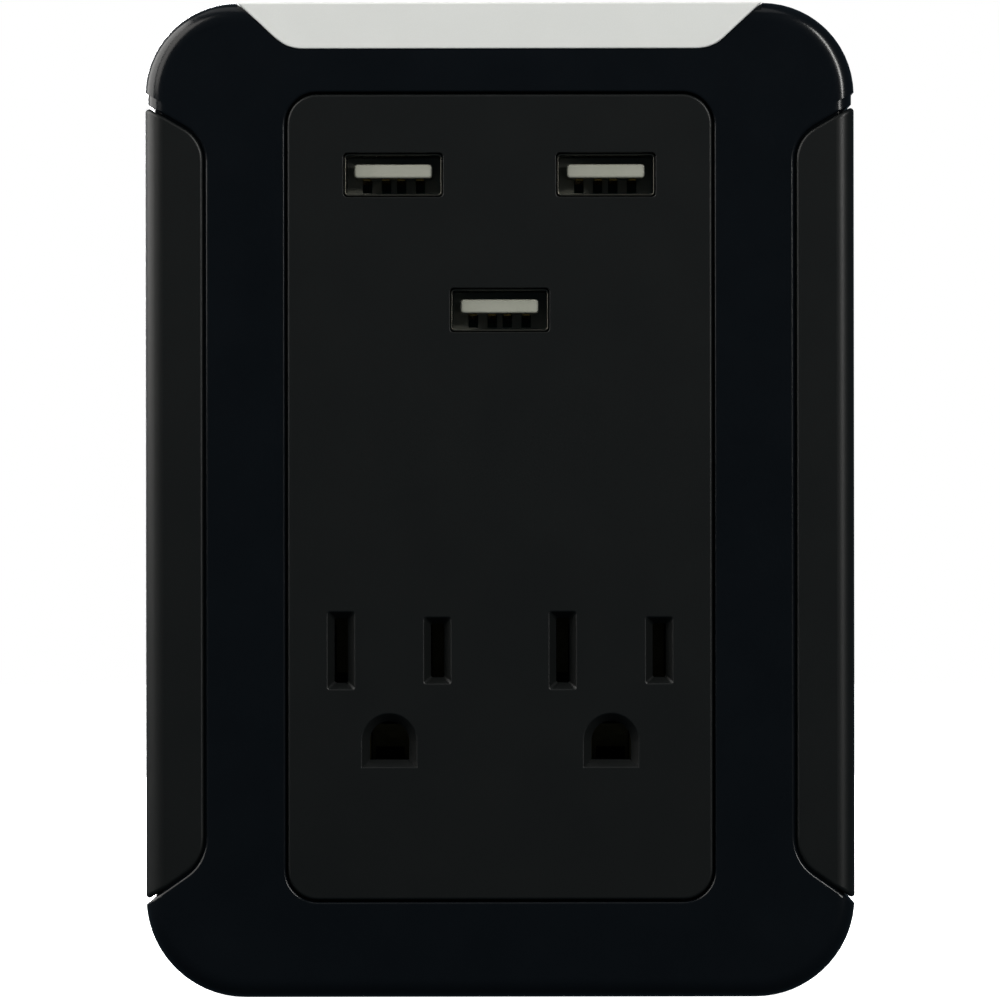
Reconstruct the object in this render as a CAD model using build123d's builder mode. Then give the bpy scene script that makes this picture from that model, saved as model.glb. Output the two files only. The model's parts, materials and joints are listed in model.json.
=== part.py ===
"""Wall-tap surge protector: two grounded outlets and three USB-A charging ports.

Frame: origin at the centre of the rear face, which lies on the wall. +X is to the right of a
person who faces the product, +Z is up, and the front looks towards -Y. Heights above the wall
are measured along -Y, so at_height(h) is the plane at height h. Millimetres and degrees.
"""

import os
from math import radians, tan

from build123d import *

# ---------------------------------------------------------------- driving dimensions

# Body
width = 93.4
height = 131.0
depth = 38.0  # front face above the wall
top_radius = 12.1
bottom_radius = 13.1
edge_round = 2.4  # rounding of the front edge
rear_edge_round = 2.4
parting = 14.0  # height of the joint between rear housing and bezel
parting_round = 0.5  # rounds the housing's edge there, which leaves a groove
wall = 2.8
rear_wall = 2.4
cavity_round = 1.0

# Trim on the bezel: two side panels and the top insert
trim_depth = 1.4
seam = 0.28  # gap round each side panel
lip_round = 0.45  # rounding along it
relief = (1.4, 0.35)  # height and depth of the step in the bezel's side above each side panel
side_panel_width = 7.8
side_corner_top = 47.6
side_corner_bottom = -47.5
side_slope_top = 30.0
side_slope_bottom = 35.0
side_rounds = [5.0, 6.0]  # top and bottom corner
insert_seam = 0.12
insert_lip = 0.2  # rounding of its crisp front edge
insert_drop = 6.15  # how far it reaches below the top edge
insert_half_width = 34.6  # at the top edge
insert_slope = 43.0
insert_round = 5.3

# Centre panel
panel_width = 55.9
panel_height = 106.0
panel_z = 0.4
panel_radius = 3.9
panel_gap = 0.3
panel_round = 0.35
flange_reach = 2.5  # the flange behind the bezel holds the panel in
flange_thickness = 1.4

# Outlets (NEMA 5-15R) and wall plug (NEMA 5-15P)
outlet_x = 14.6
outlet_z = -19.8  # blade line
blade_pitch = 12.7
ground_drop = 11.9
wall_outlet_pitch = 38.9  # between the two outlets of a duplex receptacle
neutral_mouth = (3.6, 10.3)
neutral_slot = (1.75, 8.5)
hot_mouth = (3.6, 8.8)
hot_slot = (1.75, 7.1)
slot_corner = 0.3
ground_mouth = (3.65, 3.5)  # radius, and drop of the flat floor below the middle
ground_hole = (2.6, 2.5)
blade_thickness = 1.5
hot_height = 6.35
neutral_height = 7.9
blade_length = 17.5
pin_radius = 2.4
pin_neck = (2.0, 0.3)  # radius of the pins' roots, and how far these show behind the rear face
ground_length = 20.6
plug_z = 19.45  # blade line of the plug
funnel_depth = 1.3
funnel_round = 0.25

# Contacts behind the outlets
strip_height = 14.0  # underside of the brass strips
strip_thickness = 0.8
leaf_thickness = 0.6
clip_height = 6.6
carrier_size = (53.0, 30.0)
carrier_z = -25.5
carrier_back = 12.0
neutral_strip_z = -13.5
hot_strip_z = -25.5
ground_strip_z = -37.3
strip_width = 2.4

# USB-A sockets and the charger board
usb_places = {"left": (-14.0, 42.8), "right": (14.0, 42.8), "middle": (0.0, 25.0)}
usb_opening = (13.1, 5.8)
usb_opening_corner = 0.5
usb_rim_round = 0.12
usb_shell_size = (12.95, 5.62)
usb_shell_corner = 0.6
usb_shell_wall = 0.25
usb_shell_round = 0.1  # on the front edges of the sheet metal
usb_mouth = depth - 0.6  # front end of the shells
usb_base_front = 28.4
tongue_width = 10.3
tongue_thickness = 1.8
tongue_rise = 0.52  # tongue's middle above the socket's middle
tongue_corner = 0.45
tongue_round = 0.3
contact_strip = (1.0, 0.25)  # width and thickness
contact_places = (-3.5, -1.0, 1.0, 3.5)
board_thickness = 1.6
usb_board_back = 22.0
usb_board_size = (54.0, 44.0)
usb_board_z = 31.0

# Surge board
surge_board_back = 8.0
surge_board_size = (62.0, 16.5)
surge_board_z = -53.25

# Bosses, posts and screws
boss_radius = 3.5
rear_boss_radius = 3.8
post_radius = 2.75
post_bore = 1.1
board_hole = 1.3
screw_head_depth = 3.0  # counterbore of the housing screws
# Head radius, head height, shank radius and length
housing_screw = (2.9, 2.1, 1.45, 20.0)
carrier_screw = (2.2, 1.9, 1.25, 10.0)
usb_board_screw = (2.1, 1.6, 1.05, 8.0)
surge_board_screw = (2.1, 1.6, 1.05, 6.0)

lead_radius = 1.0
bite = 0.5  # how far a boss or post runs into the wall that it stands on
overrun = 3.0  # how far a cutting prism reaches past the skin
near = 0.01  # tolerance for picking the edges that lie on a surface

# Derived heights
inner_front = depth - wall
contact_seat = tongue_rise - tongue_thickness / 2 - contact_strip[1] / 2
panel_back = inner_front - flange_thickness
usb_board_front = usb_board_back + board_thickness
surge_board_front = surge_board_back + board_thickness
ground_z = outlet_z - ground_drop
plug_ground_z = plug_z - ground_drop
locating_z = plug_ground_z - wall_outlet_pitch

# Fastener places
housing_screw_places = [(x, z) for x in (-36.5, 36.5) for z in (-54.0, 54.5)]
usb_screw_places = [(x, z) for x in (-24.0, 24.0) for z in (12.5, 49.5)]
carrier_screw_places = [(0.0, outlet_z), (0.0, ground_z)]
surge_screw_places = [(-28.0, -58.5), (28.0, -58.5)]

os.makedirs("parts", exist_ok=True)


def save(piece, name):
    """Label a finished piece and write its STEP file."""
    piece.part.label = name
    export_step(piece.part, f"parts/{name}.step")


# ---------------------------------------------------------------- shared outlines and solids


def at_height(h, x=0.0, z=0.0):
    """Plane parallel to the wall at height h, with its local origin at x, z."""
    return Plane(origin=(x, -h, z), x_dir=(1, 0, 0), z_dir=(0, -1, 0))


def body_outline(inset=0.0):
    """Rounded outline of the body, moved inwards by inset."""
    with BuildSketch() as outline:
        Rectangle(width - 2 * inset, height - 2 * inset)
        fillet(outline.vertices().group_by(Axis.Y)[-1], top_radius - inset)
        fillet(outline.vertices().group_by(Axis.Y)[0], bottom_radius - inset)
    return outline.sketch


def body_block(inset, low, high, front_round=0):
    """Solid of the outline from height low to high; its front edge may be rounded."""
    with BuildPart() as block:
        with BuildSketch(at_height(low)):
            add(body_outline(inset))
        extrude(amount=high - low)
        if front_round > 0:
            fillet(block.faces().sort_by(Axis.Y)[0].edges(), front_round)
    return block.part


def side_region(side, grow):
    """Prism over the side panel on one side (-1 or 1), grown sideways by grow."""
    inner = side * (width / 2 - side_panel_width)
    outer = side * (width / 2 + overrun)
    reach = abs(outer - inner)
    high = side_corner_top + reach * tan(radians(side_slope_top))
    low = side_corner_bottom - reach * tan(radians(side_slope_bottom))
    with BuildPart() as region:
        with BuildSketch(at_height(parting)):
            with BuildLine():
                edge = FilletPolyline(
                    (outer, high),
                    (inner, side_corner_top),
                    (inner, side_corner_bottom),
                    (outer, low),
                    radius=side_rounds,
                )
                Line(edge @ 1, edge @ 0)
            make_face()
            offset(amount=grow, kind=Kind.INTERSECTION)
        extrude(amount=depth)
    return region.part


def insert_region(grow):
    """Prism over the top insert, grown sideways by grow."""
    floor_z = height / 2 - insert_drop
    slope_run = insert_drop / tan(radians(insert_slope))
    rise_run = overrun / tan(radians(insert_slope))
    floor_x = insert_half_width - slope_run
    top_x = insert_half_width + rise_run
    with BuildPart() as region:
        with BuildSketch(at_height(parting)):
            with BuildLine():
                edge = FilletPolyline(
                    (-top_x, height / 2 + overrun),
                    (-floor_x, floor_z),
                    (floor_x, floor_z),
                    (top_x, height / 2 + overrun),
                    radius=insert_round,
                )
                Line(edge @ 1, edge @ 0)
            make_face()
            offset(amount=grow, kind=Kind.INTERSECTION)
        extrude(amount=depth)
    return region.part


def seam_edges(piece, region):
    """Edges of a piece where the body's outer skin meets the side walls of a region."""
    skin = outer_form.shell()
    walls = region.shell()
    return [
        edge
        for edge in piece.edges()
        if skin.distance_to(edge @ 0.5) < near
        and walls.distance_to(edge @ 0.5) < near
        and edge.center().Y < -parting - near
    ]


outer_form = body_block(0, parting, depth, edge_round)
insert_form = body_block(0, parting, depth)
relief_form = body_block(relief[1], parting - bite, depth, edge_round)
trim_floor = body_block(
    trim_depth, parting - bite, depth - trim_depth, edge_round - trim_depth
)
bezel_cavity = body_block(wall, parting - bite, inner_front, cavity_round)

# ---------------------------------------------------------------- trim pieces


def side_panel(side):
    """Thin shell that follows the body's skin on one side, rounded along its seam."""
    region = side_region(side, -seam / 2)
    with BuildPart() as shell:
        add(region)
        add(outer_form, mode=Mode.INTERSECT)
        add(trim_floor, mode=Mode.SUBTRACT)
        fillet(seam_edges(shell, region), lip_round)
    return shell


save(side_panel(-1), "side_panel_left")
save(side_panel(1), "side_panel_right")

with BuildPart() as top_insert:
    add(insert_region(-insert_seam / 2))
    add(insert_form, mode=Mode.INTERSECT)
    add(trim_floor, mode=Mode.SUBTRACT)
    fillet(top_insert.faces().sort_by(Axis.Y)[0].edges(), insert_lip)
save(top_insert, "top_insert")

# ---------------------------------------------------------------- front bezel

boss_bore = 1.5
boss_bore_depth = 14.0
side_recesses = [side_region(-1, seam / 2), side_region(1, seam / 2)]
notch = insert_region(insert_seam / 2)

with BuildPart() as front_bezel:
    add(outer_form)
    for region in side_recesses + [notch]:
        add(region - trim_floor, mode=Mode.SUBTRACT)
    for region in side_recesses:
        fillet(seam_edges(front_bezel, region), lip_round)
    # Step in the side above each side panel.
    for region in side_recesses:
        add(Pos(0, 0, relief[0]) * region - relief_form, mode=Mode.SUBTRACT)
    add(bezel_cavity, mode=Mode.SUBTRACT)
    # Opening for the centre panel, with a rounded rim.
    with BuildSketch(at_height(inner_front, 0, panel_z)):
        RectangleRounded(
            panel_width + 2 * panel_gap, panel_height + 2 * panel_gap, panel_radius + panel_gap
        )
    extrude(amount=wall, both=True, mode=Mode.SUBTRACT)
    fillet(front_bezel.faces().sort_by(Axis.Y)[0].inner_wires()[0].edges(), panel_round)
    # Screw bosses that meet those of the rear housing.
    with BuildSketch(at_height(parting)):
        with Locations(*housing_screw_places):
            Circle(boss_radius)
    extrude(amount=inner_front - parting + bite)
    with BuildSketch(at_height(parting)):
        with Locations(*housing_screw_places):
            Circle(boss_bore)
    extrude(amount=boss_bore_depth, mode=Mode.SUBTRACT)
save(front_bezel, "front_bezel")

# ---------------------------------------------------------------- centre panel


def slot_outline(size):
    """Blade slot: a rectangle with slightly rounded corners."""
    with BuildSketch() as outline:
        RectangleRounded(*size, slot_corner)
    return outline.sketch


def ground_outline(radius, drop):
    """Ground hole: round above, with a flat floor drop below its middle."""
    with BuildSketch() as outline:
        Circle(radius)
        with Locations((0, -radius / 2)):
            Rectangle(2 * radius, radius)
        with Locations((0, -drop - radius)):
            Rectangle(4 * radius, 2 * radius, mode=Mode.SUBTRACT)
    return outline.sketch


def funnel(x, z, mouth, throat):
    """Tapered mouth on the front face, which narrows to a straight hole through the panel."""
    with BuildPart() as hole:
        with BuildSketch(at_height(depth, x, z)):
            add(mouth)
        with BuildSketch(at_height(depth - funnel_depth, x, z)):
            add(throat)
        loft()
        with BuildSketch(at_height(depth - funnel_depth, x, z)):
            add(throat)
        extrude(amount=-depth / 2)
    return hole.part


funnels = []
for middle in (-outlet_x, outlet_x):
    neutral_x = middle - blade_pitch / 2
    hot_x = middle + blade_pitch / 2
    funnels += [
        funnel(neutral_x, outlet_z, slot_outline(neutral_mouth), slot_outline(neutral_slot)),
        funnel(hot_x, outlet_z, slot_outline(hot_mouth), slot_outline(hot_slot)),
        funnel(middle, ground_z, ground_outline(*ground_mouth), ground_outline(*ground_hole)),
    ]

post_bore_depth = 11.0
carrier_bore = 1.3
carrier_bore_depth = 3.0

with BuildPart() as centre_panel:
    with BuildSketch(at_height(panel_back, 0, panel_z)):
        RectangleRounded(
            panel_width + 2 * flange_reach,
            panel_height + 2 * flange_reach,
            panel_radius + flange_reach,
        )
    extrude(amount=flange_thickness)
    with BuildSketch(at_height(inner_front, 0, panel_z)):
        RectangleRounded(panel_width, panel_height, panel_radius)
    extrude(amount=wall)
    fillet(centre_panel.faces().sort_by(Axis.Y)[0].edges(), panel_round)
    # Outlet slots and USB openings.
    for hole in funnels:
        add(hole, mode=Mode.SUBTRACT)
    for rim in centre_panel.faces().sort_by(Axis.Y)[0].inner_wires():
        fillet(rim.edges(), funnel_round)
    with BuildSketch(at_height(panel_back)):
        with Locations(*usb_places.values()):
            RectangleRounded(*usb_opening, usb_opening_corner)
    extrude(amount=depth, mode=Mode.SUBTRACT)
    for rim in centre_panel.faces().sort_by(Axis.Y)[0].inner_wires():
        if rim.center().Z > 0:
            fillet(rim.edges(), usb_rim_round)
    # Posts for the charger board, and pilot holes for its screws and the carrier's.
    with BuildSketch(at_height(usb_board_front)):
        with Locations(*usb_screw_places):
            Circle(post_radius)
    extrude(amount=panel_back - usb_board_front + bite)
    with BuildSketch(at_height(usb_board_front)):
        with Locations(*usb_screw_places):
            Circle(post_bore)
    extrude(amount=post_bore_depth, mode=Mode.SUBTRACT)
    with BuildSketch(at_height(panel_back)):
        with Locations(*carrier_screw_places):
            Circle(carrier_bore)
    extrude(amount=carrier_bore_depth, mode=Mode.SUBTRACT)
save(centre_panel, "centre_panel")

# ---------------------------------------------------------------- rear housing

holder_size = (29.0, 27.0)
holder_corner = 3.0
holder_gap = 0.15  # round the blade holder
holder_z = (plug_z + plug_ground_z) / 2 + 0.5
lip_gap = 0.1
lip_thickness = 1.2
lip_height = 2.0
lip_root = 4.0  # how far the lip's rib reaches down the inside of the wall
rib_bite = 0.3
screw_clearance = 1.7
head_clearance = 3.2
pin_opening = 3.1
label_size = (52.0, 15.0)
label_corner = 1.5
label_z = -13.5
label_depth = 0.4

with BuildPart() as rear_housing:
    with BuildSketch(at_height(0)):
        add(body_outline())
    extrude(amount=parting)
    fillet(rear_housing.faces().sort_by(Axis.Y)[-1].edges(), rear_edge_round)
    fillet(rear_housing.faces().sort_by(Axis.Y)[0].edges(), parting_round)
    with BuildSketch(at_height(rear_wall)):
        add(body_outline(wall))
    extrude(amount=parting, mode=Mode.SUBTRACT)
    # Stiffening rib round the inside, which rises past the parting line as a locating lip.
    with BuildSketch(at_height(parting - lip_root)):
        add(body_outline(wall - rib_bite))
        add(body_outline(wall + lip_gap + lip_thickness), mode=Mode.SUBTRACT)
    extrude(amount=lip_root)
    with BuildSketch(at_height(parting)):
        add(body_outline(wall + lip_gap))
        add(body_outline(wall + lip_gap + lip_thickness), mode=Mode.SUBTRACT)
    extrude(amount=lip_height)
    # Screw bosses and the posts of the surge board.
    with BuildSketch(at_height(rear_wall - bite)):
        with Locations(*housing_screw_places):
            Circle(rear_boss_radius)
    extrude(amount=parting - rear_wall + bite)
    with BuildSketch(at_height(0)):
        with Locations(*housing_screw_places):
            Circle(screw_clearance)
    extrude(amount=parting, mode=Mode.SUBTRACT)
    with BuildSketch(at_height(0)):
        with Locations(*housing_screw_places):
            Circle(head_clearance)
    extrude(amount=screw_head_depth, mode=Mode.SUBTRACT)
    with BuildSketch(at_height(rear_wall - bite)):
        with Locations(*surge_screw_places):
            Circle(post_radius)
    extrude(amount=surge_board_back - rear_wall + bite)
    with BuildSketch(at_height(rear_wall)):
        with Locations(*surge_screw_places):
            Circle(post_bore)
    extrude(amount=surge_board_back, mode=Mode.SUBTRACT)
    # Openings for the blade holder and the locating pin, and a shallow label recess.
    with BuildSketch(at_height(0)):
        with Locations((0, holder_z)):
            RectangleRounded(
                holder_size[0] + 2 * holder_gap,
                holder_size[1] + 2 * holder_gap,
                holder_corner + holder_gap,
            )
        with Locations((0, locating_z)):
            Circle(pin_opening)
    extrude(amount=rear_wall, mode=Mode.SUBTRACT)
    with BuildSketch(at_height(0)):
        with Locations((0, label_z)):
            RectangleRounded(*label_size, label_corner)
    extrude(amount=label_depth, mode=Mode.SUBTRACT)
save(rear_housing, "rear_housing")

# ---------------------------------------------------------------- wall plug

blade_root = 11.5  # inner end of the blades
holder_height = 8.0
holder_edge_round = 0.4
holder_flange = 2.5  # reach of the flange that bears on the rear wall
holder_flange_thickness = 2.0
pin_gap = 0.03

with BuildPart() as blade_holder:
    with BuildSketch(at_height(0, 0, holder_z)):
        RectangleRounded(*holder_size, holder_corner)
    extrude(amount=holder_height)
    fillet(blade_holder.faces().sort_by(Axis.Y)[-1].edges(), holder_edge_round)
    with BuildSketch(at_height(rear_wall, 0, holder_z)):
        RectangleRounded(
            holder_size[0] + 2 * holder_flange,
            holder_size[1] + 2 * holder_flange,
            holder_corner + 1,
        )
    extrude(amount=holder_flange_thickness)
    with BuildSketch(at_height(0, 0, plug_z)):
        with Locations((-blade_pitch / 2, 0)):
            Rectangle(blade_thickness, neutral_height)
        with Locations((blade_pitch / 2, 0)):
            Rectangle(blade_thickness, hot_height)
        with Locations((0, plug_ground_z - plug_z)):
            Circle(pin_neck[0] + pin_gap)
    extrude(amount=holder_height, mode=Mode.SUBTRACT)
save(blade_holder, "blade_holder")


def plug_blade(x, blade_height):
    """Flat brass blade with a tapered tip, a hole near the tip and a narrow inner tail."""
    tip_taper = 1.6
    tip_edge_round = 0.5
    tip_hole = 11.7  # how far out the hole is
    tip_hole_radius = 1.55
    tail_height = 4.6
    half = blade_height / 2
    with BuildPart() as blade:
        with BuildSketch(Plane.YZ.offset(x)):
            with BuildLine():
                Polyline(
                    (-holder_height, plug_z + half),
                    (blade_length - tip_taper, plug_z + half),
                    (blade_length, plug_z + half - tip_taper),
                    (blade_length, plug_z - half + tip_taper),
                    (blade_length - tip_taper, plug_z - half),
                    (-holder_height, plug_z - half),
                    close=True,
                )
            make_face()
            with Locations((tip_hole, plug_z)):
                Circle(tip_hole_radius, mode=Mode.SUBTRACT)
            with Locations((-(holder_height + blade_root) / 2, plug_z)):
                Rectangle(blade_root - holder_height, tail_height)
        extrude(amount=blade_thickness / 2, both=True)
        fillet(blade.faces().sort_by(Axis.Y)[-1].edges().filter_by(Axis.Z), tip_edge_round)
    return blade


hot_blade = plug_blade(blade_pitch / 2, hot_height)
save(hot_blade, "hot_blade")
neutral_blade = plug_blade(-blade_pitch / 2, neutral_height)
save(neutral_blade, "neutral_blade")


def wall_pin(z, length, root):
    """Round pin with a domed tip behind the rear face, on a thinner root from height root."""
    dome_share = 0.8  # of the radius
    neck_radius, neck_length = pin_neck
    with BuildPart() as pin:
        with BuildSketch(at_height(root, 0, z)):
            Circle(neck_radius)
        extrude(amount=-(root + neck_length))
        with BuildSketch(at_height(-neck_length, 0, z)):
            Circle(pin_radius)
        extrude(amount=neck_length - length)
        fillet(pin.faces().sort_by(Axis.Y)[-1].edges(), pin_radius * dome_share)
    return pin


ground_root = 9.0
ground_pin = wall_pin(plug_ground_z, ground_length, ground_root)
save(ground_pin, "ground_pin")

locating_length = 16.0
locating_collar = 3.05
locating_flange = 4.6
locating_flange_thickness = 2.0
locating_root = rear_wall + locating_flange_thickness

with BuildPart() as locating_pin:
    add(wall_pin(locating_z, locating_length, locating_root).part)
    with BuildSketch(at_height(0, 0, locating_z)):
        Circle(locating_collar)
    extrude(amount=rear_wall)
    with BuildSketch(at_height(rear_wall, 0, locating_z)):
        Circle(locating_flange)
    extrude(amount=locating_flange_thickness)
save(locating_pin, "locating_pin")

# ---------------------------------------------------------------- outlet contacts


def blade_clip(x):
    """Two brass leaves that pinch a blade, joined at their root, seen along Z."""
    root = strip_height + leaf_thickness / 2
    # Half of the clip, as reach from the blade and height: root, leaf, pinch and flared mouth.
    path = [(0, root), (2.0, root), (2.0, 20.0), (1.05, 27.5), (1.9, 31.0)]
    right = [(x + reach, -h) for reach, h in path]
    left = [(x - reach, -h) for reach, h in path]
    with BuildPart() as clip:
        with BuildSketch(Plane.XY.offset(outlet_z)):
            with BuildLine():
                Polyline(*left[::-1], *right[1:])
            trace(line_width=leaf_thickness)
        extrude(amount=clip_height / 2, both=True)
    return clip.part


def ground_cradle(x):
    """Two side leaves and a sprung floor that press on a round ground pin."""
    side_reach = 2.8
    side_leaf = (leaf_thickness, 4.8)
    side_leaf_height = 16.5
    middle_z = ground_z - 0.7
    floor_half_width = 1.9
    bend_height, crest_height, mouth_height = 23.0, 28.5, 31.8
    crest_z = ground_z - 1.3
    with BuildPart() as cradle:
        with BuildSketch(at_height(strip_height)):
            with Locations((x - side_reach, middle_z), (x + side_reach, middle_z)):
                Rectangle(*side_leaf)
        extrude(amount=side_leaf_height)
        with BuildSketch(at_height(strip_height)):
            with Locations((x, middle_z)):
                Rectangle(2 * side_reach + leaf_thickness, side_leaf[1])
        extrude(amount=strip_thickness)
        with BuildSketch(Plane.YZ.offset(x)):
            with BuildLine():
                Polyline(
                    (-strip_height, cradle_floor_z),
                    (-bend_height, cradle_floor_z),
                    (-crest_height, crest_z),
                    (-mouth_height, cradle_floor_z),
                )
            trace(line_width=leaf_thickness)
        extrude(amount=floor_half_width, both=True)
    return cradle.part


def bus_bar(contacts, contact_xs, contact_z, strip_z, tab_end):
    """Brass strip that joins its contacts and runs out past the carrier as a solder tab."""
    neck_width = 3.2
    inner_end = max(contact_xs) if tab_end < 0 else min(contact_xs)
    middle = (inner_end + tab_end) / 2
    with BuildPart() as bar:
        for contact in contacts:
            add(contact)
        with BuildSketch(at_height(strip_height)):
            with Locations((middle, strip_z)):
                Rectangle(abs(inner_end - tab_end), strip_width)
            for x in contact_xs:
                with Locations((x, (contact_z + strip_z) / 2)):
                    Rectangle(neck_width, abs(contact_z - strip_z) + strip_width)
        extrude(amount=leaf_thickness)
    return bar


neutral_xs = [-outlet_x - blade_pitch / 2, outlet_x - blade_pitch / 2]
hot_xs = [-outlet_x + blade_pitch / 2, outlet_x + blade_pitch / 2]
ground_xs = [-outlet_x, outlet_x]
long_tab = 34.5
short_tab = 31.0
cradle_floor_z = ground_z - 3.0

# Each strip: places of its contacts, height of the contacts and of the strip, end of its tab.
bar_routes = [
    (neutral_xs, outlet_z, neutral_strip_z, -long_tab),
    (hot_xs, outlet_z, hot_strip_z, long_tab),
    (ground_xs, cradle_floor_z, ground_strip_z, -short_tab),
]

neutral_bus_bar = bus_bar([blade_clip(x) for x in neutral_xs], *bar_routes[0])
save(neutral_bus_bar, "neutral_bus_bar")
hot_bus_bar = bus_bar([blade_clip(x) for x in hot_xs], *bar_routes[1])
save(hot_bus_bar, "hot_bus_bar")
ground_bus_bar = bus_bar([ground_cradle(x) for x in ground_xs], *bar_routes[2])
save(ground_bus_bar, "ground_bus_bar")

clip_pocket = (6.2, 9.4)
cradle_pocket = (7.4, 7.4)
cradle_pocket_z = ground_z - 0.4
channel_gap = 0.15
channel_depth = 5.0
neck_channel = 3.6
carrier_head_bore = (2.7, 14.0)
carrier_screw_hole = 1.5

with BuildPart() as contact_carrier:
    with BuildSketch(at_height(carrier_back, 0, carrier_z)):
        RectangleRounded(*carrier_size, 1.5)
    extrude(amount=panel_back - carrier_back)
    # Pockets for the contacts, open to the front, and channels for the strips.
    with BuildSketch(at_height(strip_height)):
        for x in neutral_xs + hot_xs:
            with Locations((x, outlet_z)):
                Rectangle(*clip_pocket)
        for x in ground_xs:
            with Locations((x, cradle_pocket_z)):
                Rectangle(*cradle_pocket)
    extrude(amount=panel_back, mode=Mode.SUBTRACT)
    for xs, contact_z, strip_z, tab_end in bar_routes:
        inner_end = max(xs) + neck_channel / 2 if tab_end < 0 else min(xs) - neck_channel / 2
        with BuildSketch(at_height(strip_height)):
            with Locations(((inner_end + tab_end) / 2, strip_z)):
                Rectangle(abs(inner_end - tab_end), strip_width + 2 * channel_gap)
            for x in xs:
                with Locations((x, (contact_z + strip_z) / 2)):
                    Rectangle(neck_channel, abs(contact_z - strip_z))
        extrude(amount=channel_depth, mode=Mode.SUBTRACT)
    with BuildSketch(at_height(carrier_back)):
        with Locations(*carrier_screw_places):
            Circle(carrier_head_bore[0])
    extrude(amount=carrier_head_bore[1], mode=Mode.SUBTRACT)
    with BuildSketch(at_height(carrier_back)):
        with Locations(*carrier_screw_places):
            Circle(carrier_screw_hole)
    extrude(amount=panel_back, mode=Mode.SUBTRACT)
save(contact_carrier, "contact_carrier")

# ---------------------------------------------------------------- USB sockets


def usb_shell(x, z):
    """Folded metal shell with two spring tabs above and below, open at the front."""
    window = (2.4, 6.4)
    window_height = 31.5
    slit = 0.35
    tab_x = 3.2
    with BuildPart() as shell:
        with BuildSketch(at_height(usb_board_front, x, z)):
            RectangleRounded(*usb_shell_size, usb_shell_corner)
            offset(amount=-usb_shell_wall, mode=Mode.SUBTRACT)
        extrude(amount=usb_mouth - usb_board_front)
        fillet(shell.faces().sort_by(Axis.Y)[0].edges(), usb_shell_round)
        # A slit round three sides of each window leaves a spring tab in the wall.
        with BuildSketch(Plane.XY.offset(z)):
            with Locations((x - tab_x, -window_height), (x + tab_x, -window_height)):
                Rectangle(*window)
                with Locations((0, slit)):
                    Rectangle(window[0] - 2 * slit, window[1] - slit, mode=Mode.SUBTRACT)
        extrude(amount=usb_shell_size[1], both=True, mode=Mode.SUBTRACT)
    return shell


def usb_insulator(x, z):
    """Moulded base with four contact channels, and the tongue that stands out of it."""
    base_gap = 0.05
    base_width = usb_shell_size[0] - 2 * (usb_shell_wall + base_gap)
    base_height = usb_shell_size[1] - 2 * (usb_shell_wall + base_gap)
    corner = usb_shell_corner - usb_shell_wall
    tongue_front = depth - 1.6
    channel = (1.25, 1.75)
    with BuildPart() as insulator:
        with BuildSketch(at_height(usb_board_front, x, z)):
            RectangleRounded(base_width, base_height, corner)
        extrude(amount=usb_base_front - usb_board_front)
        with BuildSketch(at_height(usb_base_front, x, z + tongue_rise)):
            RectangleRounded(tongue_width, tongue_thickness, tongue_corner)
        extrude(amount=tongue_front - usb_base_front)
        fillet(insulator.faces().sort_by(Axis.Y)[0].edges(), tongue_round)
        with BuildSketch(at_height(usb_board_front, x, z + tongue_rise - tongue_thickness / 2)):
            with Locations(*[(place, -channel[1] / 2) for place in contact_places]):
                Rectangle(*channel)
        extrude(amount=usb_base_front - usb_board_front, mode=Mode.SUBTRACT)
    return insulator


def usb_contacts(x, z):
    """Four sprung contacts below the tongue, each with a tail through the board."""
    strip_width, strip_thickness = contact_strip
    seat = z + contact_seat
    tail_end = usb_board_back - 0.6
    bend_height, crest_height, tip_height = 30.0, 33.2, 35.6
    crest_drop = 0.5
    tip_drop = 0.05
    with BuildPart() as contacts:
        for place in contact_places:
            with BuildSketch(Plane.YZ.offset(x + place)):
                with BuildLine():
                    Polyline(
                        (-tail_end, seat),
                        (-bend_height, seat),
                        (-crest_height, seat - crest_drop),
                        (-tip_height, seat - tip_drop),
                    )
                trace(line_width=strip_thickness)
            extrude(amount=strip_width / 2, both=True)
    return contacts


for place, (x, z) in usb_places.items():
    save(usb_shell(x, z), f"usb_shell_{place}")
    save(usb_insulator(x, z), f"usb_insulator_{place}")
    save(usb_contacts(x, z), f"usb_contacts_{place}")

# ---------------------------------------------------------------- charger board

tail_slot = (1.3, 0.6)

with BuildPart() as usb_board:
    with BuildSketch(at_height(usb_board_back, 0, usb_board_z)):
        RectangleRounded(*usb_board_size, 1.5)
    extrude(amount=board_thickness)
    with BuildSketch(at_height(usb_board_back)):
        with Locations(*usb_screw_places):
            Circle(board_hole)
        for x, z in usb_places.values():
            with Locations(*[(x + place, z + contact_seat) for place in contact_places]):
                RectangleRounded(*tail_slot, 0.2)
    extrude(amount=board_thickness, mode=Mode.SUBTRACT)
save(usb_board, "usb_board")

core_place = (4.0, 44.0)
core_size = (20.0, 16.6)
core_low = 12.0
core_high = 18.0
core_chamfer = 0.5
leg = 4.8  # breadth of the core's middle leg
window = (12.0, 3.4)
window_pitch = leg + window[1]
bobbin_gap = 0.1
winding_size = (11.7, leg + 2 * window[1] - 0.3)
winding_corner = 1.2
winding_low = 8.8

with BuildPart() as transformer_core:
    with BuildSketch(at_height(core_low, *core_place)):
        Rectangle(*core_size)
    extrude(amount=core_high - core_low)
    chamfer(transformer_core.edges().filter_by(Axis.Y), core_chamfer)
    with BuildSketch(at_height(core_low, *core_place)):
        with Locations((0, window_pitch / 2), (0, -window_pitch / 2)):
            Rectangle(*window)
    extrude(amount=core_high - core_low, mode=Mode.SUBTRACT)
save(transformer_core, "transformer_core")

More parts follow.
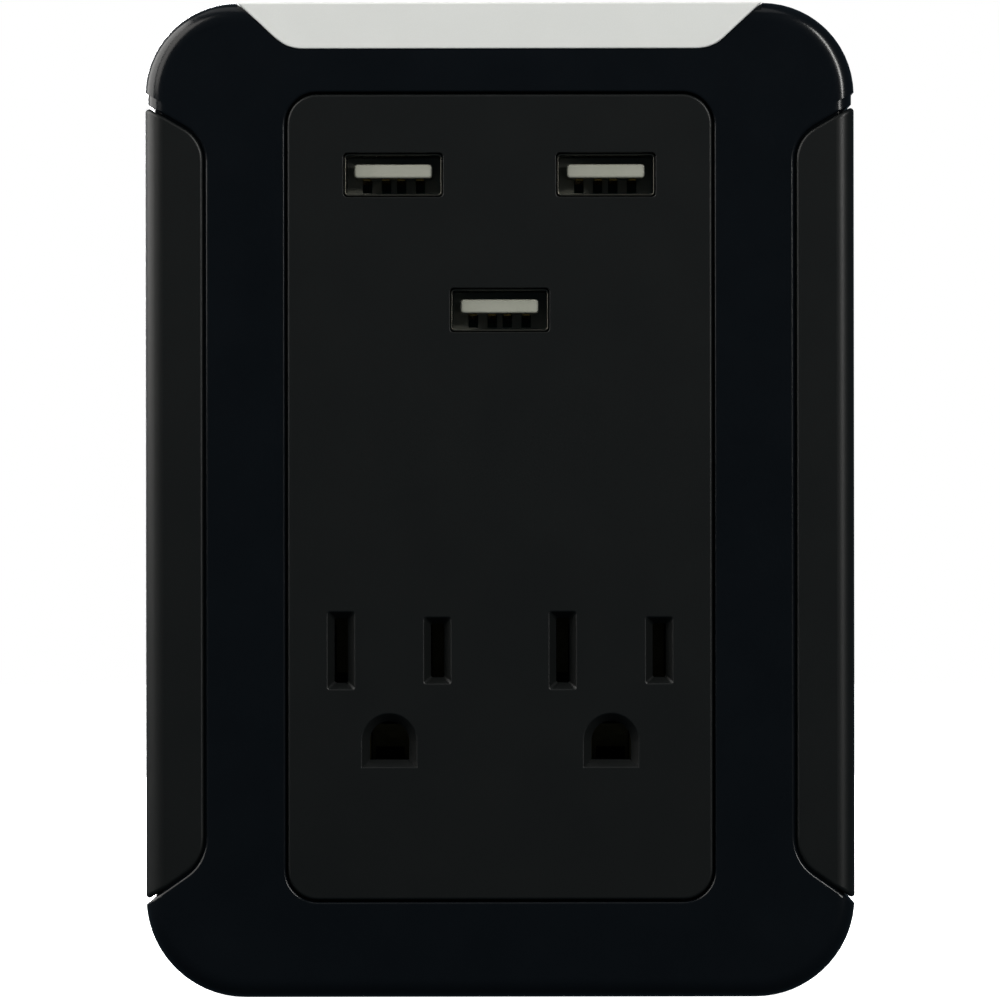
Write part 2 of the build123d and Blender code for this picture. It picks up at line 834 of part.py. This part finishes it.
with BuildPart() as transformer_winding:
    with BuildSketch(at_height(winding_low, *core_place)):
        RectangleRounded(*winding_size, winding_corner)
    extrude(amount=usb_board_back - winding_low)
    with BuildSketch(at_height(core_low - bobbin_gap, *core_place)):
        Rectangle(window[0], leg + 2 * bobbin_gap)
    extrude(amount=core_high - core_low + 2 * bobbin_gap, mode=Mode.SUBTRACT)
save(transformer_winding, "transformer_winding")

input_capacitor_radius = 5.0
input_capacitor_length = 16.0
input_capacitor_place = (-21.0, 30.5)  # x, and z of its lower end
with BuildPart() as input_capacitor:
    with BuildSketch(Plane.XY.offset(input_capacitor_place[1])):
        with Locations((input_capacitor_place[0], input_capacitor_radius - usb_board_back)):
            Circle(input_capacitor_radius)
    extrude(amount=input_capacitor_length)
    fillet(input_capacitor.edges(), 0.8)
save(input_capacitor, "input_capacitor")

output_capacitor_radius = 3.15
output_capacitor_length = 11.0
with BuildPart() as output_capacitors:
    with BuildSketch(at_height(usb_board_back)):
        with Locations((22.5, 41.0), (22.5, 33.5)):
            Circle(output_capacitor_radius)
    extrude(amount=-output_capacitor_length)
    fillet(output_capacitors.faces().group_by(Axis.Y)[-1].edges(), 0.5)
save(output_capacitors, "output_capacitors")


def chip_group(places, size, board_face, outward):
    """Moulded chips with a row of legs along each long side, on one face of a board."""
    length, breadth, thickness = size
    standoff = 0.15
    leg_pitch = 1.27
    leg_size = (0.4, 2.0)
    leg_height = 0.4
    rows = (-breadth / 2, breadth / 2)
    leg_places = [(leg_pitch * (i - 1.5), row) for i in range(4) for row in rows]
    with BuildPart() as chips:
        for x, z in places:
            with BuildSketch(at_height(board_face + outward * standoff, x, z)):
                Rectangle(length, breadth)
            extrude(amount=outward * thickness)
            with BuildSketch(at_height(board_face, x, z)):
                with Locations(*leg_places):
                    Rectangle(*leg_size)
            extrude(amount=outward * leg_height)
    return chips


chip_places = [(-15.0, 25.0), (15.0, 25.0)]
charge_control_chips = chip_group(chip_places, (5.0, 4.0, 1.5), usb_board_front, 1)
save(charge_control_chips, "charge_control_chips")
rectifier = chip_group([(-14.0, 24.0)], (8.0, 6.2, 3.0), usb_board_back, -1)
save(rectifier, "rectifier")

# ---------------------------------------------------------------- surge protection

with BuildPart() as surge_board:
    with BuildSketch(at_height(surge_board_back, 0, surge_board_z)):
        RectangleRounded(*surge_board_size, 1.0)
    extrude(amount=board_thickness)
    with BuildSketch(at_height(surge_board_back)):
        with Locations(*surge_screw_places):
            Circle(board_hole)
    extrude(amount=board_thickness, mode=Mode.SUBTRACT)
save(surge_board, "surge_board")

varistor_radius = 7.0
varistor_thickness = 4.2
varistor_round = 1.4
varistor_lift = 1.6  # gap between a disc and the board
varistor_xs = (-20.0, -12.5, -5.0)
wire_offset = (0.6, 3.7)  # of each wire from the disc's middle
wire_radius = 0.4
wire_length = 4.6
with BuildPart() as varistors:
    for x in varistor_xs:
        with BuildSketch(Plane.YZ.offset(x)):
            with Locations((-(surge_board_front + varistor_lift + varistor_radius), surge_board_z)):
                Circle(varistor_radius)
        disc = extrude(amount=varistor_thickness / 2, both=True)
        fillet(disc.edges().filter_by(GeomType.CIRCLE), varistor_round)
        with BuildSketch(at_height(surge_board_front, x, surge_board_z)):
            with Locations(wire_offset, (-wire_offset[0], -wire_offset[1])):
                Circle(wire_radius)
        extrude(amount=wire_length)
save(varistors, "varistors")

fuse_radius = 2.0
fuse_length = 11.0
fuse_lift = 0.2
fuse_place = (2.0, surge_board_z + 5.0)  # x of its left end, and z
with BuildPart() as thermal_fuse:
    with BuildSketch(Plane.YZ.offset(fuse_place[0])):
        with Locations((-(surge_board_front + fuse_lift + fuse_radius), fuse_place[1])):
            Circle(fuse_radius)
    extrude(amount=fuse_length)
    fillet(thermal_fuse.edges(), 0.5)
save(thermal_fuse, "thermal_fuse")

filter_place = (9.0, surge_board_z - 3.0)
filter_size = (17.5, 7.0)
filter_height = 12.5
with BuildPart() as filter_capacitor:
    with BuildSketch(at_height(surge_board_front, *filter_place)):
        Rectangle(*filter_size)
    extrude(amount=filter_height)
    fillet(filter_capacitor.edges().filter_by(Axis.Y), 0.6)
save(filter_capacitor, "filter_capacitor")

# ---------------------------------------------------------------- screws


def pan_screws(places, seat, outward, screw):
    """Cross-slotted pan-head screws with their heads on the plane at height seat.

    outward is -1 if the heads point at the wall, else 1.
    """
    head_radius, head_height, shank_radius, length = screw
    round_share = 0.45  # of the head's height
    slot_length, slot_width, slot_depth = 1.15 * head_radius, 0.26 * head_radius, 0.55 * head_height
    with BuildPart() as screws:
        for x, z in places:
            with BuildSketch(at_height(seat, x, z)):
                Circle(head_radius)
            head = extrude(amount=outward * head_height)
            rim = head.edges().sort_by(Axis.Y, reverse=outward < 0)[0]
            fillet(rim, head_height * round_share)
            with BuildSketch(at_height(seat, x, z)):
                Circle(shank_radius)
            extrude(amount=-outward * length)
            with BuildSketch(at_height(seat + outward * head_height, x, z)):
                Rectangle(slot_length, slot_width)
                Rectangle(slot_width, slot_length)
            extrude(amount=-outward * slot_depth, mode=Mode.SUBTRACT)
    return screws


housing_screws = pan_screws(housing_screw_places, screw_head_depth, -1, housing_screw)
save(housing_screws, "housing_screws")
carrier_seat = carrier_back + carrier_head_bore[1]
carrier_screws = pan_screws(carrier_screw_places, carrier_seat, -1, carrier_screw)
save(carrier_screws, "carrier_screws")
usb_board_screws = pan_screws(usb_screw_places, usb_board_back, -1, usb_board_screw)
save(usb_board_screws, "usb_board_screws")
surge_board_screws = pan_screws(surge_screw_places, surge_board_front, 1, surge_board_screw)
save(surge_board_screws, "surge_board_screws")

# ---------------------------------------------------------------- inner leads

lead_floor = 5.2  # height of the leads that run behind the carrier
surge_pad_z = -50.0  # where the leads leave the surge board
tab_inset = 1.5  # of a lead's end from the end of a solder tab


def lead(points):
    """Insulated wire along straight runs joined by arcs. Points are x, z and height."""
    run_share = 0.45  # of the shorter run, for each arc
    largest_radius = 12.0
    places = [Vector(x, -h, z) for x, z, h in points]
    radii = []
    for before, here, after in zip(places, places[1:], places[2:]):
        turn = radians((here - before).get_angle(after - here))
        shorter = min((here - before).length, (after - here).length)
        radii.append(min(run_share * shorter / tan(turn / 2), largest_radius))
    with BuildPart() as wire:
        with BuildLine():
            route = FilletPolyline(*places, radius=radii)
        with BuildSketch(Plane(origin=route @ 0, z_dir=route % 0)):
            Circle(lead_radius)
        sweep()
    return wire


def supply_lead(side):
    """Lead from a plug blade's tail, down behind the carrier, to the surge board."""
    return lead(
        [
            (side * blade_pitch / 2, plug_z, blade_root),
            (side * blade_pitch / 2, plug_z, 16.5),
            (side * 14.0, 1.0, 16.5),
            (side * 14.0, -9.0, lead_floor),
            (side * 14.0, surge_pad_z, lead_floor),
            (side * 14.0, surge_pad_z, surge_board_back),
        ]
    )


def outlet_lead(side, tab_x, strip_z):
    """Lead from the surge board to the tab of a bus bar."""
    return lead(
        [
            (side * 22.0, surge_pad_z, surge_board_back),
            (side * 22.0, surge_pad_z, lead_floor),
            (side * tab_x, -41.0, lead_floor),
            (side * tab_x, strip_z, lead_floor),
            (side * tab_x, strip_z, strip_height),
        ]
    )


hot_lead = supply_lead(1)
save(hot_lead, "hot_lead")
neutral_lead = supply_lead(-1)
save(neutral_lead, "neutral_lead")
hot_outlet_lead = outlet_lead(1, long_tab - tab_inset, hot_strip_z)
save(hot_outlet_lead, "hot_outlet_lead")
neutral_outlet_lead = outlet_lead(-1, long_tab - tab_inset, neutral_strip_z)
save(neutral_outlet_lead, "neutral_outlet_lead")

ground_tab_x = -(short_tab - tab_inset)
ground_run = 8.0  # height of the ground lead beside the carrier
ground_lead = lead(
    [
        (0, plug_ground_z, ground_root),
        (0, plug_ground_z, 11.5),
        (-18.0, 5.0, 9.5),
        (ground_tab_x, -6.0, ground_run),
        (ground_tab_x, ground_strip_z, ground_run),
        (ground_tab_x, ground_strip_z, strip_height),
    ]
)
save(ground_lead, "ground_lead")


def charger_lead(side):
    """Lead from the surge board to the charger board."""
    return lead(
        [
            (side * 8.0, surge_pad_z, surge_board_back),
            (side * 8.0, surge_pad_z, lead_floor),
            (side * 8.0, -13.0, lead_floor),
            (side * 3.0, -2.0, 14.0),
            (side * 3.0, 12.0, 15.5),
            (side * 3.0, 12.0, usb_board_back),
        ]
    )


with BuildPart() as charger_leads:
    add(charger_lead(-1).part)
    add(charger_lead(1).part)
save(charger_leads, "charger_leads")
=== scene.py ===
"""Looks of the wall-tap surge protector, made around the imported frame. Metres, as in the frame."""

import json
import math

import bpy
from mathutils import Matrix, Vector


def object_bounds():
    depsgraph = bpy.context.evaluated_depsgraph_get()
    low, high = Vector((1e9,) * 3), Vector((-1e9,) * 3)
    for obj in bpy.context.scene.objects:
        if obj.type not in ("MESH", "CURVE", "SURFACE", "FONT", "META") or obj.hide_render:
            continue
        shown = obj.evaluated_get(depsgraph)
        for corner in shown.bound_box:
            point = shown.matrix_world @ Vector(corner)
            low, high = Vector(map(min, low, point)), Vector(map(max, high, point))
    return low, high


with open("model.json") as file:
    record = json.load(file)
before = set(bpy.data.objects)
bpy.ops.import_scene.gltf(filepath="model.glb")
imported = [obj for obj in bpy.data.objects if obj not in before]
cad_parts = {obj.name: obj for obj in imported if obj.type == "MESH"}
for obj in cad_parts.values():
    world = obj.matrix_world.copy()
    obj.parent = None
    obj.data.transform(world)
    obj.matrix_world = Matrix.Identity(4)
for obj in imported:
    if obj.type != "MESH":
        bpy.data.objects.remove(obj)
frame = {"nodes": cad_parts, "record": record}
cad_low, cad_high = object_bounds()

MM = 0.001

# ---------------------------------------------------------------- materials


class Finish:
    """One Principled material, with short calls that add procedural detail to it."""

    def __init__(self, name, colour, roughness, metallic=0.0, **sockets):
        self.material = bpy.data.materials.new(name)
        self.material.use_nodes = True
        self.tree = self.material.node_tree
        self.shader = self.tree.nodes["Principled BSDF"]
        self.colour = colour
        self.set("Base Color", (*colour, 1.0))
        self.set("Roughness", roughness)
        self.set("Metallic", metallic)
        for socket, value in sockets.items():
            self.set(socket.replace("_", " "), value)
        self.places = self.node("ShaderNodeTexCoord").outputs["Object"]
        self.relief = None

    def set(self, socket, value):
        self.shader.inputs[socket].default_value = value

    def node(self, kind, inputs=None, **settings):
        """Add a node. An input is a value, or another node's output to link to it."""
        made = self.tree.nodes.new(kind)
        for name, value in settings.items():
            setattr(made, name, value)
        for name, value in (inputs or {}).items():
            if isinstance(value, bpy.types.NodeSocket):
                self.tree.links.new(value, made.inputs[name])
            else:
                made.inputs[name].default_value = value
        return made

    def stretched(self, stretch, offset=(0.0, 0.0, 0.0)):
        """Object coordinates scaled by stretch, so that a texture turns into streaks."""
        return self.node(
            "ShaderNodeMapping", {"Vector": self.places, "Scale": stretch, "Location": offset}
        ).outputs["Vector"]

    def noise(self, grain, detail=2.0, roughness=0.5, where=None):
        """Noise whose features are about grain metres across."""
        inputs = {
            "Vector": where or self.places,
            "Scale": 1.0 / grain,
            "Detail": detail,
            "Roughness": roughness,
        }
        return self.node("ShaderNodeTexNoise", inputs).outputs["Fac"]

    def cells(self, grain, feature="F1", where=None):
        """Distance to the nearest of random points about grain metres apart."""
        inputs = {"Vector": where or self.places, "Scale": 1.0 / grain}
        return self.node("ShaderNodeTexVoronoi", inputs, feature=feature).outputs["Distance"]

    def ranged(self, value, low, high, start=0.3, end=0.7):
        """Map value from start..end to low..high."""
        inputs = {
            "Value": value,
            "From Min": start,
            "From Max": end,
            "To Min": low,
            "To Max": high,
        }
        return self.node("ShaderNodeMapRange", inputs).outputs["Result"]

    def tint(self, mask, colour):
        """Blend the base colour towards another where mask is 1."""
        mix = self.node("ShaderNodeMix", data_type="RGBA")
        socket = self.shader.inputs["Base Color"]
        if socket.is_linked:
            self.tree.links.new(socket.links[0].from_socket, mix.inputs[6])
        else:
            mix.inputs[6].default_value = (*self.colour, 1.0)
        mix.inputs[7].default_value = (*colour, 1.0)
        self.tree.links.new(mask, mix.inputs[0])
        self.tree.links.new(mix.outputs[2], socket)
        return self

    def gloss(self, value):
        """Drive the roughness."""
        self.tree.links.new(value, self.shader.inputs["Roughness"])
        return self

    def bump(self, height, depth, strength=1.0):
        """Add relief, depth metres deep, on top of any relief so far."""
        inputs = {"Height": height, "Distance": depth, "Strength": strength}
        if self.relief is not None:
            inputs["Normal"] = self.relief
        self.relief = self.node("ShaderNodeBump", inputs).outputs["Normal"]
        self.tree.links.new(self.relief, self.shader.inputs["Normal"])
        return self


def moulded(name, colour, lighter, roughness, grain, depth, specular=0.4):
    """Moulded plastic: spark-eroded grain, faint flow marks and uneven gloss."""
    finish = Finish(name, colour, roughness, Specular_IOR_Level=specular)
    fine = finish.noise(grain, detail=3.0, roughness=0.65)
    broad = finish.noise(9 * MM, detail=4.0)
    finish.tint(finish.ranged(broad, 0.0, 1.0), lighter)
    finish.gloss(finish.ranged(fine, roughness - 0.05, roughness + 0.06))
    finish.bump(fine, depth)
    return finish.material


def plated(name, colour, stain, roughness, streak):
    """Plated metal: fine streaks along the way it was drawn, and faint staining."""
    finish = Finish(name, colour, roughness, metallic=1.0)
    lines = finish.noise(0.12 * MM, detail=3.0, where=finish.stretched(streak))
    clouds = finish.noise(2.5 * MM, detail=3.0)
    finish.tint(finish.ranged(clouds, 0.0, 0.55), stain)
    finish.gloss(finish.ranged(lines, roughness - 0.05, roughness + 0.07))
    finish.bump(lines, 0.0015 * MM)
    return finish.material


def insulation(name, colour, darker):
    """Extruded wire insulation: soft gloss with faint ripples."""
    finish = Finish(name, colour, 0.42)
    ripple = finish.noise(0.9 * MM, detail=2.0)
    finish.tint(finish.ranged(ripple, 0.0, 0.5), darker)
    finish.gloss(finish.ranged(ripple, 0.36, 0.5))
    finish.bump(ripple, 0.03 * MM)
    return finish.material


def circuit_board(name):
    """Green solder mask over copper tracks and a weave of glass."""
    finish = Finish(name, (0.012, 0.075, 0.03), 0.3)
    tracks = finish.node(
        "ShaderNodeTexBrick",
        {
            "Vector": finish.node(
                "ShaderNodeMapping",
                {"Vector": finish.places, "Rotation": (math.radians(90), 0.0, 0.0)},
            ).outputs["Vector"],
            "Scale": 180.0,
            "Mortar Size": 0.05,
            "Mortar Smooth": 0.2,
            "Brick Width": 1.3,
            "Row Height": 0.35,
        },
        offset=0.37,
    ).outputs["Fac"]
    weave = finish.noise(0.35 * MM, where=finish.stretched((1.0, 1.0, 4.0)))
    finish.tint(finish.ranged(tracks, 0.0, 1.0, 0.0, 1.0), (0.03, 0.16, 0.06))
    finish.gloss(finish.ranged(weave, 0.24, 0.4))
    finish.bump(tracks, 0.03 * MM)
    finish.bump(weave, 0.006 * MM)
    return finish.material


def silver_trim(name):
    """Silver paint: fine metal flakes under a thin clear coat."""
    finish = Finish(
        name, (0.89, 0.9, 0.87), 0.5, metallic=0.08, Coat_Weight=0.2, Coat_Roughness=0.15
    )
    flakes = finish.cells(0.12 * MM)
    clouds = finish.noise(6 * MM, detail=3.0)
    finish.tint(finish.ranged(flakes, 0.0, 0.5), (0.93, 0.94, 0.92))
    finish.gloss(finish.ranged(clouds, 0.46, 0.54))
    finish.bump(flakes, 0.003 * MM)
    return finish.material


def make_materials():
    """Every material, by the record's slot."""
    made = {}
    made["bezel_plastic"] = moulded(
        "satin_black_bezel", (0.0030, 0.0040, 0.0054), (0.0038, 0.0050, 0.0066),
        0.2, 0.16 * MM, 0.002 * MM, 0.31,
    )
    made["panel_plastic"] = moulded(
        "matte_graphite_panel", (0.0052, 0.0061, 0.0061), (0.0064, 0.0073, 0.0071),
        0.38, 0.2 * MM, 0.006 * MM, 0.31,
    )
    made["housing_plastic"] = moulded(
        "matte_black_housing", (0.0045, 0.005, 0.0055), (0.006, 0.0065, 0.007),
        0.55, 0.25 * MM, 0.02 * MM,
    )
    made["carrier_plastic"] = moulded(
        "black_carrier", (0.012, 0.012, 0.012), (0.018, 0.018, 0.018), 0.5, 0.3 * MM, 0.01 * MM
    )
    # Grey, not white: the white insulator's colour is lowered to paint the shade on the tongues
    # recessed inside the USB sockets.
    made["usb_white"] = moulded(
        "white_insulator_painted_shade", (0.40, 0.41, 0.34), (0.46, 0.46, 0.40), 0.4, 0.2 * MM, 0.004 * MM
    )
    made["chip_plastic"] = moulded(
        "chip_epoxy", (0.012, 0.012, 0.013), (0.02, 0.02, 0.02), 0.55, 0.1 * MM, 0.008 * MM
    )
    made["ferrite"] = moulded(
        "ferrite", (0.03, 0.03, 0.034), (0.06, 0.058, 0.055), 0.6, 0.15 * MM, 0.02 * MM
    )
    made["fuse_body"] = moulded(
        "fuse_resin", (0.55, 0.5, 0.4), (0.65, 0.6, 0.5), 0.35, 0.4 * MM, 0.01 * MM
    )
    made["film_capacitor"] = moulded(
        "film_capacitor_case", (0.55, 0.4, 0.03), (0.62, 0.47, 0.06), 0.4, 0.25 * MM, 0.012 * MM
    )
    made["varistor_coating"] = moulded(
        "varistor_epoxy", (0.02, 0.075, 0.27), (0.035, 0.11, 0.36), 0.32, 1.2 * MM, 0.05 * MM
    )
    made["capacitor_sleeve"] = moulded(
        "capacitor_sleeve", (0.008, 0.012, 0.04), (0.015, 0.02, 0.06), 0.28, 0.5 * MM, 0.006 * MM
    )
    made["winding_tape"] = moulded(
        "polyester_tape", (0.6, 0.42, 0.03), (0.7, 0.52, 0.06), 0.3, 0.6 * MM, 0.012 * MM
    )
    made["silver_trim"] = silver_trim("silver_trim")
    made["circuit_board"] = circuit_board("green_circuit_board")
    # The nickel colour is darkened far below real nickel, painting shade onto the USB shells' front
    # rims.
    made["usb_nickel"] = plated(
        "nickel_darkened_painted_shade", (0.13, 0.125, 0.105), (0.095, 0.09, 0.07), 0.3, (1.0, 0.08, 1.0)
    )
    made["plug_brass"] = plated(
        "plated_brass", (0.86, 0.81, 0.68), (0.82, 0.75, 0.59), 0.34, (1.0, 0.06, 1.0)
    )
    # The brass colour and its stain are darkened well below real brass, painting the shade inside
    # the outlet slots and ground holes.
    made["contact_brass"] = plated(
        "contact_brass", (0.24, 0.17, 0.08), (0.17, 0.11, 0.05), 0.34, (0.1, 1.0, 1.0)
    )
    made["usb_gold"] = plated(
        "gold_flash", (0.42, 0.29, 0.1), (0.36, 0.22, 0.07), 0.26, (1.0, 0.1, 1.0)
    )
    made["zinc_steel"] = plated(
        "zinc_plated_steel", (0.55, 0.56, 0.56), (0.48, 0.47, 0.42), 0.3, (1.0, 1.0, 1.0)
    )
    made["black_insulation"] = insulation(
        "black_insulation", (0.012, 0.012, 0.012), (0.02, 0.02, 0.02)
    )
    made["white_insulation"] = insulation("white_insulation", (0.72, 0.72, 0.7), (0.6, 0.6, 0.57))
    made["green_insulation"] = insulation(
        "green_insulation", (0.02, 0.2, 0.04), (0.015, 0.14, 0.03)
    )
    made["red_insulation"] = insulation("red_insulation", (0.4, 0.015, 0.012), (0.3, 0.01, 0.008))
    return made


materials = make_materials()
slot_of = {row["node"]: row["material_slot"] for row in frame["record"]["subparts"]}
for name, node in frame["nodes"].items():
    node.data.materials.clear()
    node.data.materials.append(materials[slot_of[name]])

# ---------------------------------------------------------------- stage

size = cad_high - cad_low
front_y = cad_low.y
middle = (cad_low + cad_high) / 2


def plane(name, corners, material):
    """One four-sided face."""
    mesh = bpy.data.meshes.new(name)
    mesh.from_pydata(corners, [], [(0, 1, 2, 3)])
    mesh.materials.append(material)
    made = bpy.data.objects.new(name, mesh)
    bpy.context.scene.collection.objects.link(made)
    return made


def make_floor():
    """Pale floor that the part stands on. It sheds no light on the part."""
    finish = Finish("pale_floor", (0.86, 0.86, 0.86), 0.8)
    finish.tint(finish.ranged(finish.noise(40 * MM), 0.0, 1.0), (0.84, 0.84, 0.84))
    finish.set("Emission Color", (1.0, 1.0, 1.0, 1.0))
    finish.set("Emission Strength", 1.3)  # evens the floor out to the white behind it
    reach = 2.0
    clearance = 0.05 * MM
    level = cad_low.z - clearance
    corners = [
        (-reach, -reach, level),
        (reach, -reach, level),
        (reach, reach, level),
        (-reach, reach, level),
    ]
    floor = plane("floor", corners, finish.material)
    floor.visible_diffuse = False
    floor.visible_glossy = False


def soft_light(name, place, aim, width, height, power, colour):
    """Rectangular soft box at place that faces the point aim."""
    data = bpy.data.lights.new(name, "AREA")
    data.shape = "RECTANGLE"
    data.size = width
    data.size_y = height
    data.energy = power
    data.color = colour
    light = bpy.data.objects.new(name, data)
    light.location = place
    light.rotation_euler = (Vector(aim) - Vector(place)).to_track_quat("-Z", "Y").to_euler()
    light.visible_camera = False
    bpy.context.scene.collection.objects.link(light)


def make_world():
    """White behind the part, and dim grey-blue surroundings for light and reflections."""
    world = bpy.data.worlds.new("studio")
    bpy.context.scene.world = world
    world.use_nodes = True
    tree = world.node_tree
    output = tree.nodes["World Output"]
    seen = tree.nodes["Background"]
    seen.inputs["Color"].default_value = (1.0, 1.0, 1.0, 1.0)
    around = tree.nodes.new("ShaderNodeBackground")
    around.inputs["Color"].default_value = (0.58, 0.88, 1.12, 1.0)
    around.inputs["Strength"].default_value = 0.05
    mix = tree.nodes.new("ShaderNodeMixShader")
    path = tree.nodes.new("ShaderNodeLightPath")
    tree.links.new(path.outputs["Is Camera Ray"], mix.inputs["Fac"])
    tree.links.new(around.outputs["Background"], mix.inputs[1])
    tree.links.new(seen.outputs["Background"], mix.inputs[2])
    tree.links.new(mix.outputs["Shader"], output.inputs["Surface"])


def make_camera():
    """Camera straight in front of the part, with the front face just inside the frame."""
    distance = 1.2
    margin = 1.0045  # the frame's width over the part's height
    roll = 0.08  # degrees
    data = bpy.data.cameras.new("camera")
    data.sensor_width = 36.0
    data.lens = data.sensor_width * distance / (margin * size.z)
    data.clip_end = 20.0
    camera = bpy.data.objects.new("camera", data)
    camera.location = (0.0, front_y - distance, middle.z)
    camera.rotation_euler = (math.radians(90), math.radians(roll), 0.0)
    bpy.context.scene.collection.objects.link(camera)
    bpy.context.scene.camera = camera


make_floor()
make_world()
make_camera()
soft_light("box_left", (-0.42, 0.01, 0.34), (0.0, 0.01, 0.34), 0.45, 0.62, 4.2, (1.0, 0.98, 0.95))
soft_light("fill_left", (-0.36, -0.36, 0.3), (0.0, 0.0, 0.0), 0.25, 0.45, 1.1, (1.0, 0.97, 0.93))
soft_light("strip_right", (0.5, -0.52, 0.36), (0.0, -0.02, 0.36), 0.1, 0.57, 4.2, (1.0, 0.99, 0.96))
soft_light("overhead", (-0.1, -0.08, 0.8), (0.0, 0.0, 0.1), 0.9, 0.3, 0.6, (1.0, 1.0, 1.0))
soft_light("back_fill", (-0.1, 0.9, 0.1), (0.0, 0.0, 0.0), 0.3, 0.4, 8.0, (1.0, 1.0, 1.0))
soft_light("back_left", (-0.4, 1.0, 0.3), (0.0, 0.0, 0.0), 0.5, 0.6, 2.0, (1.0, 1.0, 1.0))

scene = bpy.context.scene
scene.view_settings.view_transform = "Standard"
scene.view_settings.look = "None"
